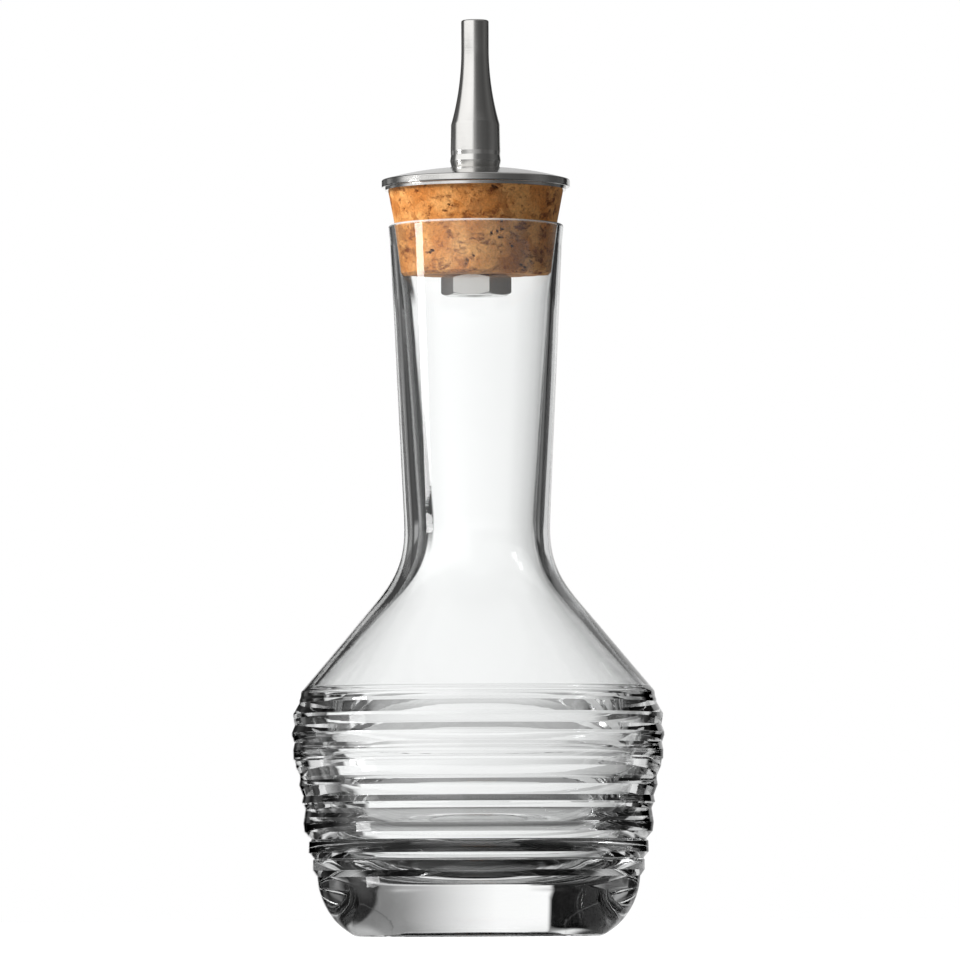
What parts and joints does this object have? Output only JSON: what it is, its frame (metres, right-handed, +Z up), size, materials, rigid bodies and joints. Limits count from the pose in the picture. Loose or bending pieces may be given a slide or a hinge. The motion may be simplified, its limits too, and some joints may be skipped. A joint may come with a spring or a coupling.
{
  "type": "bitters bottle",
  "caption": "Clear glass bitters bottle with a cut-ring body, conical shoulder and flaring neck, closed by a tapered cork stopper that carries a steel disc and a narrow dash spout.",
  "frame": {"origin": "middle of the foot, on the surface that the bottle stands on", "axes": "+Z up along the axis of the bottle, stopper and spout; -Y faces the picture's camera"},
  "size_m": [0.0602, 0.06, 0.148],
  "materials": {
    "glass": "clear, fire polished, with ground and polished rings",
    "cork": "natural cork, open grain with dark pits",
    "steel": "polished stainless steel with fine turning marks"
  },
  "bodies": {
    "bottle": {"glass_bottle": "glass"},
    "stopper": {"cork": "cork", "cap_disc": "steel"},
    "dasher": {"dash_spout": "steel", "threaded_stem": "steel"},
    "nut": {"hex_nut": "steel"}
  },
  "joints": [
    {"name": "stopper_pull", "type": "slide", "parent": "bottle", "child": "stopper", "axis": [0, 0, 1], "range_m": [0, 0.06]},
    {"name": "dasher_turn", "type": "hinge", "parent": "stopper", "child": "dasher", "pos_m": [0, 0, 0.1239], "axis": [0, 0, 1], "range_deg": [0, 1080]},
    {"name": "nut_travel", "type": "slide", "parent": "stopper", "child": "nut", "axis": [0, 0, -1], "range_m": [0, 0.003]}
  ],
  "couplings": [
    {"joint": "dasher_turn", "follows": "nut_travel", "rad_per_m": 6283.2}
  ]
}
